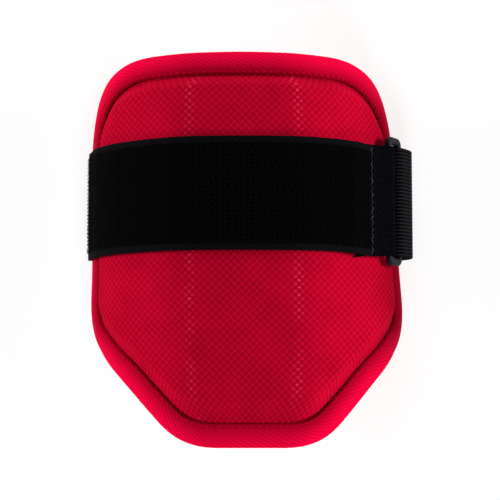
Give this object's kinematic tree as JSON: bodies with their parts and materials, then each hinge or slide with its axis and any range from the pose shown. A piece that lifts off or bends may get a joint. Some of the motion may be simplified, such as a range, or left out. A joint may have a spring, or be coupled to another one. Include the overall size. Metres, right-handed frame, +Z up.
{
  "type": "baseball elbow guard",
  "caption": "Elbow guard for batting: a moulded foam pad in woven cloth with a bound edge, and an elastic strap that closes round the arm through a plastic ring.",
  "frame": {"origin": "middle of the strap's underside, on the surface that the guard lies on", "axes": "+Y along the arm, towards the guard's broad upper end; +X across the arm, towards the ring; +Z up, from the arm to the raised front"},
  "size_m": [0.158, 0.1833, 0.0608],
  "materials": {
    "pad_cloth": "coarse woven nylon, matt with a faint sheen",
    "binding_tape": "diagonally ribbed twill tape",
    "pile_elastic": "looped pile between plain woven selvages",
    "velour_tape": "brushed, matt",
    "webbing": "cross-ribbed webbing, slightly shiny",
    "ring_plastic": "moulded, satin"
  },
  "bodies": {
    "root": {"pad_shell": "pad_cloth", "edge_binding": "binding_tape", "front_strap": "pile_elastic", "ring_tab": "velour_tape", "rear_strap": "webbing", "strap_ring": "ring_plastic"}
  },
  "joints": []
}
